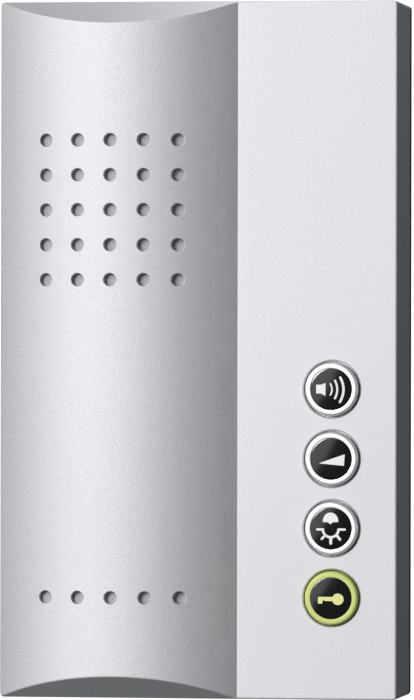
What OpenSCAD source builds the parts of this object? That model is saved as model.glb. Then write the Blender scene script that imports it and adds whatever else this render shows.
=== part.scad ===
// Hands-free intercom station for wall mounting: a deep moulded cover with a curved speaker field
// and a flat button panel, on a back plate that carries the circuit board.
// Lengths are in millimetres, in wall coordinates: x to the right, y up, z out of the wall.
// on_wall() turns them so that +Z is up and the front faces -Y, with the origin in the middle of
// the back face.

/* [Housing] */
// Width of the housing
house_w = 115; // [110:1:130]
// Height of the housing
house_h = 200; // [192:1:230]
// Distance from the wall to the flat button panel
panel_z = 36; // [34:0.5:44]
// Wall thickness of the moulded cover
wall_t = 2.4; // [1.8:0.1:2.8]
// Radius of the housing's upright corners
corner_r = 1.2; // [0.8:0.1:2]
// Chamfer along the panel's outer edges
edge_chamfer = 0.5; // [0.2:0.1:1]
// Width of the curved speaker field
field_w = 69; // [66:0.5:74]
// Height of the curved field above the panel
field_rise = 11; // [9:0.5:14]
// Set-back of the field's slanted ends for each millimetre of rise
end_slope = 0.59; // [0.3:0.01:0.9]

/* [Sound holes] */
// Diameter of each sound hole
hole_d = 3.7; // [2.5:0.1:4.5]
// Holes in each row, and rows in the speaker grille
hole_n = 5; // [3:2:5]
// Distance of the grille's outer columns from the field's sides
grille_side = 15.3; // [14.5:0.1:18]
// How much further apart the grille's rows are than its columns
row_extra = 0.4; // [0:0.1:0.5]
// Distance of the grille's centre left of the field's centre line
grille_shift = 0.8; // [0:0.1:1.2]
// Distance of the grille's centre below the housing's top
grille_drop = 60; // [54:1:70]
// Distance between the microphone row's holes
mic_pitch = 9.75; // [8:0.05:10]
// Distance of the microphone row's centre left of the field's centre line
mic_shift = 0.5; // [0:0.1:1.5]
// Height of the microphone row and the lowest button above the housing's bottom
low_row_rise = 29.1; // [27:0.1:36]

/* [Buttons] */
// Outer diameter of a button
button_d = 15.5; // [14:0.1:16.4]
// Distance between buttons
button_pitch = 19.9; // [19.6:0.1:22]
// Distance of the buttons' centres from the housing's right side
button_inset = 18.65; // [16:0.05:22]
// How far a button stands out of the panel
button_proud = 1.8; // [1.6:0.1:3]
// Travel of a button
button_travel = 1.2; // [0.6:0.1:1.5]
// Radius of the button rim's rounded shoulder
rim_round = 0.8; // [0.5:0.1:1.2]
// Diameter of the black inlay disc
inlay_d = 11.9; // [10:0.1:12.4]
// Thickness of the inlay disc
inlay_t = 1.2; // [0.8:0.1:1.5]
// Radius of the inlay's domed face
inlay_dome_r = 90; // [60:5:200]
// Thickness of a button's walls
button_wall = 1.4; // [1:0.1:1.6]
// Radius of the flange that keeps a button in the panel
flange_r = 9; // [8.8:0.1:9.2]
// Thickness of that flange
flange_t = 1.2; // [0.8:0.1:2]
// Radius of the stem that presses the switch
stem_r = 2.2; // [1.8:0.1:3]
// Width of the lug that keeps a button's symbol upright
lug_w = 2.4; // [1.6:0.1:3]
// Depth of the guides behind the panel
guide_depth = 6; // [5:0.5:8]

/* [Back plate] */
// Thickness of the back plate
base_t = 2.4; // [2:0.1:3]
// Distance of the back plate's edge inside the housing's sides
base_inset = 1; // [0.4:0.1:1.4]
// Thickness of the plate's locating rim
rim_t = 1.8; // [1.2:0.1:2.4]
// Height of the locating rim above the plate
rim_h = 9; // [8.5:0.5:11]
// Diameter of the wall screw holes
wall_hole_d = 4.5; // [3.5:0.1:5.5]
// Distance of the wall screw holes from the housing's left and right sides
wall_hole_side = 12.5; // [11:0.5:15]
// Distance of the wall screw holes from the housing's top and bottom
wall_hole_end = 10; // [9.5:0.5:11]
// Width of the cable window
window_w = 32; // [24:1:33]
// Height of the cable window
window_h = 40; // [30:1:42]
// Width of the slots for a wall box's screws
box_slot_w = 4.2; // [3.5:0.1:5]
// Length of those slots
box_slot_l = 8; // [6:0.5:9]
// Distance between the wall box's screws
box_screw_pitch = 60; // [60:0.5:61]
// Width of a catch that holds the cover
catch_w = 10; // [6:0.5:14]
// How far a catch stands out of the rim
catch_out = 1; // [0.6:0.1:1.2]
// Distance of the catches from the centre line
catch_x = 30; // [20:1:36]
// Height of the plate's ribs
rib_h = 4; // [2:0.5:6]
// Thickness of the plate's ribs
rib_t = 1.5; // [1:0.1:2]

/* [Circuit board] */
// Height of the board's posts above the plate
post_h = 14; // [12:0.5:15]
// Radius of a board post
post_r = 3.5; // [3:0.1:4.5]
// Thickness of the board
board_t = 1.6; // [1:0.1:2]
// Gap between the board and the cover's side walls
board_side_gap = 4.1; // [3:0.1:5]
// Distance of the board's screws from its edges
board_screw_inset = 5; // [4:0.5:6]
// Width of a push switch
switch_w = 6.2; // [5:0.1:7]
// Height of a push switch's body
switch_h = 4; // [3.4:0.1:4.5]
// Radius of a switch's plunger
plunger_r = 1.75; // [1.2:0.05:2]
// Poles of the line terminal
pole_n = 4; // [2:1:4]
// Distance between poles
pole_pitch = 5; // [5:0.08:5.08]
// Height of the line terminal
terminal_h = 10; // [8:0.5:10.5]
// Radius of a filter capacitor
cap_r = 4; // [3:0.5:5]
// Height of a filter capacitor
cap_h = 11; // [8:0.5:12]
// Radius of a lead's insulation
lead_r = 0.6; // [0.4:0.1:0.8]

/* [Speaker] */
// Width of the speaker's square frame outside the sound chamber
frame_margin = 4.95; // [4.8:0.05:5.4]
// Height of the sheet metal in the speaker's frame
sheet_t = 0.8; // [0.6:0.1:1]
// Depth of the speaker's basket behind its frame
basket_depth = 10.3; // [9.5:0.1:12]
// Thickness of the ring magnet
magnet_t = 6; // [4:0.5:7]
// Thickness of the yoke's back plate
yoke_t = 2.5; // [2:0.1:3]
// Radius of the ring magnet for each millimetre of the frame's width
magnet_share = 0.26; // [0.22:0.01:0.28]
// Radius of the pole piece for each millimetre of the frame's width
pole_share = 0.105; // [0.08:0.005:0.11]
// Thickness of the foam gasket
gasket_t = 1.2; // [0.8:0.1:1.6]
// Wall of the sound chamber behind the grille
chamber_t = 2; // [1.2:0.1:2.5]
// Thickness of the acoustic cloth
cloth_t = 0.5; // [0.3:0.1:0.8]

/* [Microphone] */
// Radius of the microphone capsule
capsule_r = 4.85; // [3:0.05:5]
// Height of the capsule
capsule_h = 4.6; // [3:0.1:5]
// Wall of the rubber boot round the capsule
boot_t = 1.6; // [1:0.1:2]
// Distance of the holder's screws from the capsule's axis
holder_screw_y = 12; // [11.5:0.5:14]
// Thickness of the holder
holder_t = 2; // [1.5:0.1:3]

/* [Fits] */
// Gap between the plate's rim and the cover
cover_gap = 0.3; // [0.2:0.05:0.4]
// Radial gap between a button and its hole, and between its flange and its guide
button_gap = 0.35; // [0.3:0.05:0.4]
// Gap between a resting button's flange and the panel's back
button_play = 0.15; // [0.1:0.05:0.3]
// Gap round an inlay, a screw shank, a capsule and other parts that are pressed or glued in
snug_gap = 0.05; // [0.03:0.01:0.1]
// Gap round a switch's plunger
plunger_gap = 0.3; // [0.3:0.05:0.4]

/* [Hidden] */
$fn = 64;

// Margin by which a cut runs past the face that it opens
over = 1;

// Curved field: its centre line, its radius and the height of its cylinder's axis
field_x = -house_w / 2 + field_w / 2;
field_right = field_x + field_w / 2;
field_r = (field_w * field_w / 4 + field_rise * field_rise) / (2 * field_rise);
field_axis_z = panel_z + field_rise - field_r;
apex_z = panel_z + field_rise;
// Depth by which the field's solid reaches into the panel's slab
field_root = 6;
// Length of a slanted end measured square to the slope, for one unit of inset
end_slant = sqrt(1 + end_slope * end_slope);
panel_back_z = panel_z - wall_t;
inside_w = house_w - 2 * wall_t;
inside_h = house_h - 2 * wall_t;

// Rows of holes and buttons
hole_span = hole_n - 1;
grille_pitch_x = (field_w - 2 * grille_side) / hole_span;
grille_pitch_y = grille_pitch_x + row_extra;
grille_x = field_x - grille_shift;
grille_y = house_h / 2 - grille_drop;
mic_x = field_x - mic_shift;
mic_y = -house_h / 2 + low_row_rise;
button_x = house_w / 2 - button_inset;
TALK = 3;
VOLUME = 2;
LIGHT = 1;
DOOR = 0;
BUTTONS = [DOOR, LIGHT, VOLUME, TALK];

// Button heights above the panel's face, negative behind it
button_r = button_d / 2;
button_hole_r = button_r + button_gap;
button_hole_chamfer = 0.4;
inlay_r = inlay_d / 2;
inlay_sink = 0.25;
// Sides of the wide circle that the domed face is cut from
dome_fn = 720;
recess_z = button_proud - inlay_sink - inlay_t;
flange_top = -wall_t - button_play;
flange_bottom = flange_top - flange_t;
lug_out = 0.9;
guide_r = flange_r + button_gap;
guide_t = 1.25;

// Circuit board and what stands on it
board_back_z = base_t + post_h;
board_z = board_back_z + board_t;
board_w = inside_w - 2 * board_side_gap;
board_below = 11;
board_above = 13.2;
board_low = mic_y - board_below;
board_high = mic_y + TALK * button_pitch + board_above;
board_mid_y = (board_low + board_high) / 2;
post_dx = board_w / 2 - board_screw_inset;
post_dy = (board_high - board_low) / 2 - board_screw_inset;
board_screw_r = 1.5;
board_screw_hole_r = 1.7;
board_screw_l = 8;
screw_head_r = 2.7;
screw_head_h = 1.8;
switch_floor = 0.6;
plunger_rest = 0.2;
plunger_low_z = board_z + switch_floor + button_travel + plunger_rest;
plunger_top_z = board_z + switch_h + button_travel + 2 * plunger_rest;
terminal_w = pole_n * pole_pitch;
terminal_d = 8;
terminal_shift = 2.5;
terminal_edge = 1;
terminal_x = field_right + terminal_shift;
terminal_y = board_high - terminal_d / 2 - terminal_edge;
terminal_screw_r = 1.7;
terminal_well = 3;
terminal_screw_l = 4;
wire_hole_r = 1.4;
wire_hole_z = 3.2;
wire_hole_l = 5;
cap_n = 3;
cap_gap = 3;
cap_edge = 5;
cap_lift = 23;
cap_x = -board_w / 2 + cap_r + cap_edge;
cap_y = board_mid_y + cap_lift;
chip_shift = 18;
chip_lift = 3;
chip_pins = 8;
chip_gap = 7.3;
rectifier_pins = 2;
pin_pitch = 2.54;
chip_x = field_x + chip_shift;
chip_y = board_mid_y + chip_lift;
rectifier_y = chip_y + (chip_pins + rectifier_pins) * pin_pitch / 2 + chip_gap;
core_w = 18;
core_d = 6;
core_h = 13;
transformer_gap = 7.75;
transformer_drop = 13;
transformer_x = button_x - switch_w / 2 - transformer_gap - core_w / 2;
transformer_y = board_mid_y - transformer_drop;
header_w = 7.5;
header_d = 5;
header_h = 5.5;
header_pin = 1.25;
mic_header_shift = 16;
mic_header_rise = 20;
mic_header_x = mic_x + mic_header_shift;
mic_header_y = mic_y + mic_header_rise;
lead_sides = 8;
lead_rings = 14;

// Back plate
base_w = house_w - 2 * base_inset;
base_h = house_h - 2 * base_inset;
rim_w = inside_w - 2 * cover_gap;
rim_l = inside_h - 2 * cover_gap;
rim_top_z = base_t + rim_h;
catch_z = base_t + rim_h - 4;
catch_l = 2.8;
catch_lead = 0.4;
catch_gap = 0.3;
slit_w = 1.2;
window_x = (field_right + house_w / 2) / 2;
window_drop = 4;
window_y = grille_y - window_drop;
wall_hole_dx = house_w / 2 - wall_hole_side;
wall_hole_dy = house_h / 2 - wall_hole_end;
wall_boss_t = 2.2;
wall_boss_h = 1.2;

// Loudspeaker, from its seat backwards
seat_rise = 1.4;
seat_z = panel_back_z + seat_rise;
chamber_margin = 1.2;
chamber_w = hole_span * max(grille_pitch_x, grille_pitch_y) + hole_d + 2 * chamber_margin;
chamber_out_w = chamber_w + 2 * chamber_t;
frame_w = chamber_out_w + 2 * frame_margin;
frame_front_z = seat_z - gasket_t;
frame_back_z = frame_front_z - sheet_t;
speaker_screw_inset = 3.8;
speaker_screw_d = frame_w / 2 - speaker_screw_inset;
speaker_boss_r = 3.2;
speaker_screw_r = 1.25;
pilot_l = 3.6;
basket_edge = 3.2;
basket_r = frame_w / 2 - basket_edge;
basket_in_r = basket_r - sheet_t;
basket_back_z = frame_back_z - basket_depth;
ledge_w = 1.4;
ledge_drop = 1.8;
ledge_z = frame_back_z - ledge_drop;
roll_w = 3.4;
cone_rim_r = basket_in_r - ledge_w - roll_w;
cone_t = 0.5;
pole_r = pole_share * frame_w;
coil_gap = 0.4;
coil_r = pole_r + coil_gap;
coil_t = 0.7;
cone_neck_r = coil_r + coil_t + snug_gap;
cone_neck_rise = 3.3;
cone_neck_z = basket_back_z + cone_neck_rise;
cone_seat_w = 1.2;
magnet_gap = 1.6;
magnet_r = magnet_share * frame_w;
magnet_in_r = cone_neck_r + magnet_gap;
magnet_back_z = basket_back_z - magnet_t;
dust_cap_edge = 1;
dust_cap_r = cone_neck_r + dust_cap_edge;
dust_cap_rise = 2.6;
tag_w = 14;
tag_h = 7;
tag_t = 1.2;
tag_y = grille_y - basket_r - tag_t;
tag_pitch = 4;
speaker_lead_drop = 14;
speaker_header_y = tag_y - speaker_lead_drop;

// Acoustic cloth follows the inside of the curved field
cloth_r = field_r - wall_t - snug_gap;
cloth_in_r = cloth_r - cloth_t;
cloth_edge = 2.5;
cloth_chamber_gap = 0.3;
mic_cloth_h = 10.5;

// Microphone, from the cloth backwards
boot_r = capsule_r + snug_gap + boot_t;
boot_front_t = 0.5;
port_r = 1.5;
mic_reach = abs(mic_shift) + boot_r;
mic_front_z = field_axis_z + sqrt(cloth_in_r * cloth_in_r - mic_reach * mic_reach) - 2 * snug_gap;
boot_tail = 0.9;
mic_back_z = mic_front_z - boot_front_t - capsule_h;
boot_back_z = mic_back_z - boot_tail;
holder_w = 10;
holder_ring_t = 1.4;
holder_ring_h = 3.5;
holder_hole_r = 3.6;
holder_post_r = 3;
holder_screw_r = 1.1;
holder_screw_l = 6;
small_head_r = 2.2;
small_head_h = 1.5;

function button_y(row) = mic_y + row * button_pitch;
function unit(v) = v / norm(v);
function bezier(p, t) =
    pow(1 - t, 3) * p[0] + 3 * pow(1 - t, 2) * t * p[1] + 3 * (1 - t) * t * t * p[2] + t * t * t * p[3];
function bezier_way(p, t) =
    unit(pow(1 - t, 2) * (p[1] - p[0]) + 2 * (1 - t) * t * (p[2] - p[1]) + t * t * (p[3] - p[2]));

module on_wall() {
    rotate([90, 0, 0]) children();
}

// Block with rounded upright corners between two heights
module round_block(w, h, r, z0, z1) {
    translate([0, 0, z0])
        linear_extrude(z1 - z0) {
            square([w - 2 * r, h], center = true);
            square([w, h - 2 * r], center = true);
            for (sx = [-1, 1], sy = [-1, 1])
                translate([sx * (w / 2 - r), sy * (h / 2 - r)]) circle(r);
        }
}

// Box about the z axis between two heights
module box(w, h, z0, z1) {
    translate([-w / 2, -h / 2, z0]) cube([w, h, z1 - z0]);
}

// Upright cylinder between two heights
module rod(r, z0, z1) {
    translate([0, 0, z0]) cylinder(r = r, h = z1 - z0);
}

// Prism along x, with its outline in the y-z plane
module along_x(x0, x1, outline) {
    translate([x0, 0, 0])
        rotate([90, 0, 90])
            linear_extrude(x1 - x0) polygon(outline);
}

// Cylinder along y about the curved field's axis
module field_cylinder(r) {
    translate([field_x, -house_h / 2 - over, field_axis_z])
        rotate([-90, 0, 0]) cylinder(r = r, h = house_h + 2 * over);
}

module at_corners(dx, dy) {
    for (sx = [-1, 1], sy = [-1, 1])
        translate([sx * dx, sy * dy, 0]) children();
}

module at_button(row) {
    translate([button_x, button_y(row), 0]) children();
}

module at_grille() {
    translate([grille_x, grille_y, 0]) children();
}

module at_mic() {
    translate([mic_x, mic_y, 0]) children();
}

module at_board_screws() {
    translate([0, board_mid_y, 0]) at_corners(post_dx, post_dy) children();
}

// Screw with its head's underside at z, its shank running to higher z
module pan_screw(head_r, head_h, shank_r, shank_l, z) {
    rod(head_r, z - head_h, z);
    rod(shank_r, z - head_h / 2, z + shank_l);
}

// Curved field with slanted ends, set in from its outside by inset
module field_solid(inset) {
    z0 = panel_z - inset - field_root;
    z1 = apex_z + over;
    y0 = house_h / 2 - inset * end_slant - end_slope * (z0 - panel_z);
    y1 = house_h / 2 - inset * end_slant - end_slope * (z1 - panel_z);
    intersection() {
        field_cylinder(field_r - inset);
        along_x(-house_w / 2 + inset, field_right, [[-y0, z0], [y0, z0], [y1, z1], [-y1, z1]]);
        round_block(house_w - 2 * inset, house_h - 2 * inset, corner_r, z0, z1);
    }
}

// Whole form of the cover, set in from its outside by inset
module cover_form(inset, z0) {
    round_block(house_w - 2 * inset, house_h - 2 * inset, corner_r, z0, panel_z - inset);
    field_solid(inset);
}

// Bevels of the panel's right, top and bottom edges, the last two starting a little beside the field
module panel_bevels() {
    bevel = edge_chamfer * sqrt(2);
    bevel_w = house_w / 2 - field_right - edge_chamfer;
    translate([house_w / 2, 0, panel_z])
        rotate([0, 45, 0]) cube([bevel, house_h + 2 * over, bevel], center = true);
    for (s = [-1, 1])
        translate([house_w / 2 - bevel_w / 2 + over / 2, s * house_h / 2, panel_z])
            rotate([45, 0, 0]) cube([bevel_w + over, bevel, bevel], center = true);
}

// Sound chamber, screw bosses, microphone posts and button guides inside the cover
module cover_inner_works() {
    guide_low_z = panel_back_z - guide_depth;
    slot_w = lug_w + 2 * button_gap;
    at_grille() {
        difference() {
            box(chamber_out_w, chamber_out_w, seat_z, apex_z);
            box(chamber_w, chamber_w, seat_z - over, apex_z + over);
        }
        at_corners(speaker_screw_d, speaker_screw_d) rod(speaker_boss_r, frame_front_z, apex_z);
    }
    at_mic()
        for (s = [-1, 1])
            translate([0, s * holder_screw_y, 0]) rod(holder_post_r, boot_back_z, apex_z);
    difference() {
        for (row = BUTTONS) at_button(row) rod(guide_r + guide_t, guide_low_z, panel_z);
        for (row = BUTTONS) at_button(row) {
            rod(guide_r, guide_low_z - over, panel_z + over);
            translate([-guide_r - guide_t - over, -slot_w / 2, guide_low_z - over])
                cube([guide_t + 2 * over, slot_w, guide_depth + over]);
        }
    }
}

module sound_holes() {
    at_grille()
        for (i = [0 : hole_span], j = [0 : hole_span])
            translate([(i - hole_span / 2) * grille_pitch_x, (j - hole_span / 2) * grille_pitch_y, 0])
                rod(hole_d / 2, seat_z, apex_z + over);
    at_mic()
        for (i = [0 : hole_span])
            translate([(i - hole_span / 2) * mic_pitch, 0, 0]) rod(hole_d / 2, seat_z, apex_z + over);
}

module button_holes() {
    for (row = BUTTONS) at_button(row) {
        rod(button_hole_r, panel_back_z - over, panel_z + over);
        translate([0, 0, panel_z - button_hole_chamfer])
            cylinder(r1 = button_hole_r, r2 = button_hole_r + 2 * button_hole_chamfer,
                     h = 2 * button_hole_chamfer);
    }
}

// Pockets for the plate's catches: blind at the top, open at the bottom so that they can be released
module catch_pockets() {
    w = catch_w + 2 * catch_gap;
    depth = cover_gap + over;
    reach = [catch_out - cover_gap + catch_gap, wall_t + over];
    for (side = [0, 1], sx = [-1, 1])
        mirror([0, side, 0])
            translate([sx * catch_x - w / 2, inside_h / 2 - depth, catch_z - catch_gap])
                cube([w, depth + reach[side], catch_l + 2 * catch_gap]);
}

module front_cover() color("silver") on_wall() {
    difference() {
        union() {
            difference() {
                cover_form(0, base_t);
                cover_form(wall_t, base_t - over);
            }
            intersection() {
                cover_form(wall_t / 2, base_t);
                cover_inner_works();
            }
        }
        panel_bevels();
        sound_holes();
        button_holes();
        catch_pockets();
        at_grille()
            at_corners(speaker_screw_d, speaker_screw_d)
                rod(speaker_screw_r + snug_gap, frame_front_z - over, frame_front_z + pilot_l + sheet_t);
        at_mic()
            for (s = [-1, 1])
                translate([0, s * holder_screw_y, 0])
                    rod(holder_screw_r + snug_gap, boot_back_z - over, boot_back_z + holder_screw_l);
    }
}

// Rim inside the cover's skirt, slit beside each catch so that the catches can spring
module locating_rim() {
    difference() {
        round_block(rim_w, rim_l, corner_r, base_t - over, rim_top_z);
        round_block(rim_w - 2 * rim_t, rim_l - 2 * rim_t, corner_r, base_t - 2 * over, rim_top_z + over);
        for (sx = [-1, 1], sy = [-1, 1], e = [-1, 1])
            translate([sx * catch_x + e * (catch_w + slit_w) / 2, sy * rim_l / 2, 0])
                box(slit_w, 4 * rim_t, base_t + rim_t, rim_top_z + over);
    }
}

module catches() {
    root = rim_l / 2 - rim_t / 2;
    tip = rim_l / 2 + catch_out;
    nose = [
        [root, catch_z],
        [tip - catch_lead, catch_z],
        [tip, catch_z + catch_lead],
        [tip, catch_z + 2 * catch_lead],
        [root + rim_t / 2, catch_z + catch_l],
        [root, catch_z + catch_l]
    ];
    for (side = [0, 1], sx = [-1, 1])
        mirror([0, side, 0])
            along_x(sx * catch_x - catch_w / 2, sx * catch_x + catch_w / 2, nose);
}

// Ribs that tie the board's posts together and frame the cable window
module base_ribs() {
    rib_z = base_t + rib_h;
    for (s = [-1, 1]) {
        translate([0, board_mid_y + s * post_dy, 0]) box(2 * post_dx, rib_t, base_t - over, rib_z);
        translate([s * post_dx, board_mid_y, 0]) box(rib_t, 2 * post_dy, base_t - over, rib_z);
    }
    translate([window_x, window_y, 0])
        box(window_w + 2 * rib_t, window_h + 2 * rib_t, base_t - over, rib_z);
}

// Upright slots above and below the cable window for the screws of a wall box
module box_slots() {
    straight = box_slot_l - box_slot_w;
    for (s = [-1, 1])
        translate([window_x, window_y + s * box_screw_pitch / 2, 0]) {
            box(box_slot_w, straight, -over, base_t + over);
            for (e = [-1, 1])
                translate([0, e * straight / 2, 0]) rod(box_slot_w / 2, -over, base_t + over);
        }
}

module base_plate() color("dimgray") on_wall() {
    difference() {
        union() {
            round_block(base_w, base_h, corner_r, 0, base_t);
            locating_rim();
            catches();
            base_ribs();
            at_board_screws() rod(post_r, base_t - over, board_back_z);
            at_corners(wall_hole_dx, wall_hole_dy)
                rod(wall_hole_d / 2 + wall_boss_t, base_t - over, base_t + wall_boss_h);
        }
        at_corners(wall_hole_dx, wall_hole_dy) rod(wall_hole_d / 2, -over, base_t + wall_boss_h + over);
        translate([window_x, window_y, 0]) box(window_w, window_h, -over, base_t + rib_h + over);
        box_slots();
        at_board_screws()
            rod(board_screw_r + snug_gap, board_z - board_screw_l - over, board_back_z + over);
    }
}

module main_board() color("darkgreen") on_wall() {
    difference() {
        translate([0, board_mid_y, 0]) box(board_w, board_high - board_low, board_back_z, board_z);
        at_board_screws() rod(board_screw_hole_r, board_back_z - over, board_z + over);
    }
}

module board_screws() color("lightgray") on_wall() {
    at_board_screws()
        translate([0, 0, board_z]) mirror([0, 0, 1])
            pan_screw(screw_head_r, screw_head_h, board_screw_r, board_screw_l, 0);
}

module switch_bodies() color("black") on_wall() {
    for (row = BUTTONS) at_button(row)
        difference() {
            box(switch_w, switch_w, board_z, board_z + switch_h);
            rod(plunger_r + plunger_gap, board_z + switch_floor, board_z + switch_h + over);
        }
}

// Places of the terminal's poles along its length
module at_poles() {
    for (i = [0 : pole_n - 1])
        translate([terminal_x + (i - (pole_n - 1) / 2) * pole_pitch, terminal_y, 0]) children();
}

module terminal_block() color("seagreen") on_wall() {
    well_z = board_z + terminal_h - terminal_well - terminal_screw_l;
    difference() {
        translate([terminal_x, terminal_y, 0]) box(terminal_w, terminal_d, board_z, board_z + terminal_h);
        at_poles() {
            rod(terminal_screw_r + snug_gap, well_z, board_z + terminal_h + over);
            translate([0, terminal_d / 2 - wire_hole_l, board_z + wire_hole_z])
                rotate([-90, 0, 0]) cylinder(r = wire_hole_r, h = wire_hole_l + over);
        }
    }
}

module terminal_screws() color("lightgray") on_wall() {
    slot_w = 0.6;
    slot_h = 0.8;
    top_z = board_z + terminal_h - terminal_well;
    at_poles()
        difference() {
            rod(terminal_screw_r, top_z - terminal_screw_l, top_z);
            box(4 * terminal_screw_r, slot_w, top_z - slot_h, top_z + over);
        }
}

module filter_capacitors() color("midnightblue") on_wall() {
    pitch = 2 * cap_r + cap_gap;
    groove = 0.4;
    groove_z = board_z + 2;
    for (i = [0 : cap_n - 1])
        translate([cap_x, cap_y - i * pitch, 0])
            difference() {
                rod(cap_r, board_z, board_z + cap_h);
                difference() {
                    rod(cap_r + over, groove_z, groove_z + 2 * groove);
                    rod(cap_r - groove, groove_z - over, groove_z + over + 2 * groove);
                }
            }
}

// Moulded chip with two rows of bent legs, its length along y
module leg_package(pins) {
    body_w = 6.4;
    body_h = 3.3;
    lift = 0.5;
    leg_w = 0.6;
    leg_out = 0.7;
    knee = 1.6;
    box(body_w, pins * pin_pitch, board_z + lift, board_z + lift + body_h);
    for (i = [0 : pins - 1], s = [0, 1])
        mirror([s, 0, 0])
            translate([body_w / 2, (i - (pins - 1) / 2) * pin_pitch, 0]) {
                box(2 * leg_out, leg_w, board_z + knee, board_z + knee + leg_w / 2);
                translate([leg_out - leg_w / 4, 0, 0])
                    box(leg_w / 2, leg_w, board_z, board_z + knee + leg_w / 2);
            }
}

module audio_chip() color("black") on_wall() {
    translate([chip_x, chip_y, 0]) leg_package(chip_pins);
}

module bridge_rectifier() color("black") on_wall() {
    translate([chip_x, rectifier_y, 0]) leg_package(rectifier_pins);
}

// Small line transformer: a winding former between the limbs of a laminated core
module line_transformer() color("goldenrod") on_wall() {
    limb_w = 3;
    winding_out = 4;
    former_w = core_w - 2 * limb_w;
    former_d = core_d + 2 * winding_out;
    former_h = core_h - limb_w;
    flange = 1;
    lift = 1;
    translate([transformer_x, transformer_y, 0]) {
        box(core_w, core_d, board_z, board_z + core_h);
        translate([0, 0, lift]) box(former_w, former_d, board_z, board_z + former_h);
        for (z = [0, former_h - over])
            translate([0, 0, z]) box(former_w + 2 * flange, former_d, board_z, board_z + lift + over);
    }
}

module lead_headers() color("ivory") on_wall() {
    for (p = [[grille_x, speaker_header_y], [mic_header_x, mic_header_y]])
        translate([p[0], p[1], 0]) box(header_w, header_d, board_z, board_z + header_h);
}

module speaker_basket() color("gray") on_wall() at_grille() {
    window = 13;
    difference() {
        union() {
            difference() {
                box(frame_w, frame_w, frame_back_z, frame_front_z);
                rod(basket_in_r, frame_back_z - over, frame_front_z + over);
                at_corners(speaker_screw_d, speaker_screw_d)
                    rod(speaker_screw_r + 2 * snug_gap, frame_back_z - over, frame_front_z + over);
            }
            rotate_extrude()
                polygon([
                    [basket_r, frame_back_z + sheet_t / 2],
                    [basket_r, ledge_z - sheet_t],
                    [magnet_r, basket_back_z],
                    [magnet_in_r, basket_back_z],
                    [magnet_in_r, basket_back_z + sheet_t],
                    [magnet_r - sheet_t / 2, basket_back_z + sheet_t],
                    [basket_in_r - ledge_w, ledge_z - sheet_t],
                    [basket_in_r - ledge_w, ledge_z],
                    [basket_in_r, ledge_z],
                    [basket_in_r, frame_back_z + sheet_t / 2]
                ]);
        }
        for (a = [45 : 90 : 315])
            rotate([0, 0, a])
                translate([basket_r, 0, 0])
                    box(2 * (basket_r - magnet_r - 2), window,
                        basket_back_z + 2 * sheet_t, ledge_z - 3 * sheet_t);
    }
}

module speaker_tag_strip() color("sienna") on_wall() {
    translate([grille_x, tag_y + tag_t / 2, 0])
        box(tag_w, tag_t, frame_back_z - tag_h, frame_back_z);
}

module speaker_magnet() color("black") on_wall() at_grille() {
    difference() {
        rod(magnet_r - sheet_t, magnet_back_z, basket_back_z);
        rod(magnet_in_r, magnet_back_z - over, basket_back_z + over);
    }
}

module speaker_yoke() color("silver") on_wall() at_grille() {
    rod(magnet_r - 2 * sheet_t, magnet_back_z - yoke_t, magnet_back_z);
    rod(pole_r, magnet_back_z - yoke_t / 2, basket_back_z + sheet_t);
}

module speaker_voice_coil() color("peru") on_wall() at_grille() {
    difference() {
        rod(coil_r + coil_t, basket_back_z - magnet_t / 2, cone_neck_z + cone_t);
        rod(coil_r, basket_back_z - magnet_t, cone_neck_z + over);
    }
}

module speaker_cone() color("lightgray") on_wall() at_grille() {
    rim_z = ledge_z - cone_t;
    rotate_extrude()
        polygon([
            [cone_neck_r, cone_neck_z],
            [cone_rim_r - cone_seat_w, rim_z],
            [cone_rim_r, rim_z],
            [cone_rim_r, ledge_z],
            [cone_rim_r - cone_seat_w, ledge_z],
            [cone_neck_r, cone_neck_z + cone_t]
        ]);
}

// Half-round roll that joins the cone's edge to the basket's ledge
module speaker_surround() color("black") on_wall() at_grille() {
    inner_r = cone_rim_r - cone_seat_w / 2;
    outer_r = basket_in_r - snug_gap;
    roll_in = cone_rim_r;
    roll_out = basket_in_r - ledge_w;
    roll_mid = (roll_in + roll_out) / 2;
    roll_r = (roll_out - roll_in) / 2;
    rotate_extrude()
        translate([0, ledge_z]) {
            translate([inner_r, 0]) square([roll_in - inner_r + cone_t, cone_t]);
            translate([roll_out - cone_t, 0]) square([outer_r - roll_out + cone_t, cone_t]);
            intersection() {
                translate([roll_mid, 0])
                    difference() {
                        circle(roll_r);
                        circle(roll_r - cone_t);
                    }
                translate([roll_in - over, 0]) square([2 * roll_r + 2 * over, roll_r + over]);
            }
        }
}

module speaker_dust_cap() color("lightgray") on_wall() at_grille() {
    dome_r = (dust_cap_r * dust_cap_r + dust_cap_rise * dust_cap_rise) / (2 * dust_cap_rise);
    slope = (ledge_z - cone_t - cone_neck_z) / (cone_rim_r - cone_seat_w - cone_neck_r);
    seat = cone_neck_z + cone_t + slope * (dust_cap_r - cone_neck_r) + snug_gap;
    intersection() {
        translate([0, 0, seat + dust_cap_rise - dome_r])
            difference() {
                sphere(dome_r);
                sphere(dome_r - cone_t);
            }
        rod(dust_cap_r + over, seat, seat + dust_cap_rise + over);
    }
}

module speaker_gasket() color("dimgray") on_wall() at_grille() {
    difference() {
        box(chamber_out_w, chamber_out_w, frame_front_z, seat_z);
        box(chamber_w, chamber_w, frame_front_z - over, seat_z + over);
        at_corners(speaker_screw_d, speaker_screw_d)
            rod(speaker_boss_r + snug_gap, frame_front_z - over, seat_z + over);
    }
}

module speaker_screws() color("lightgray") on_wall() at_grille() {
    at_corners(speaker_screw_d, speaker_screw_d)
        pan_screw(small_head_r, small_head_h, speaker_screw_r, pilot_l, frame_back_z);
}

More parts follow.
